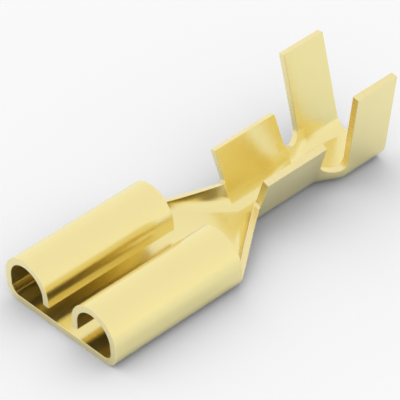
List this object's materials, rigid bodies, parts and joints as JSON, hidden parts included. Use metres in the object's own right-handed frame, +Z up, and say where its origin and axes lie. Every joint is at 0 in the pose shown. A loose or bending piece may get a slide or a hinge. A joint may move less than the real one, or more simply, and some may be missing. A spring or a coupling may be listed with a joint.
{
  "type": "female spade terminal",
  "caption": "Folded brass crimp terminal: a receptacle with rolled edges for a flat tab, a tapering neck, a wire barrel and a taller insulation barrel, all open for crimping.",
  "frame": {"origin": "middle of the length and the width, on the plane of the underside", "axes": "+X along the terminal from the tab mouth to the insulation barrel, +Y across it, +Z up out of the open barrels"},
  "size_m": [0.0192, 0.0076, 0.0056],
  "materials": {
    "brass": "bright rolled sheet, smooth, with sheared edges"
  },
  "bodies": {
    "root": {"terminal": "brass"}
  },
  "joints": []
}
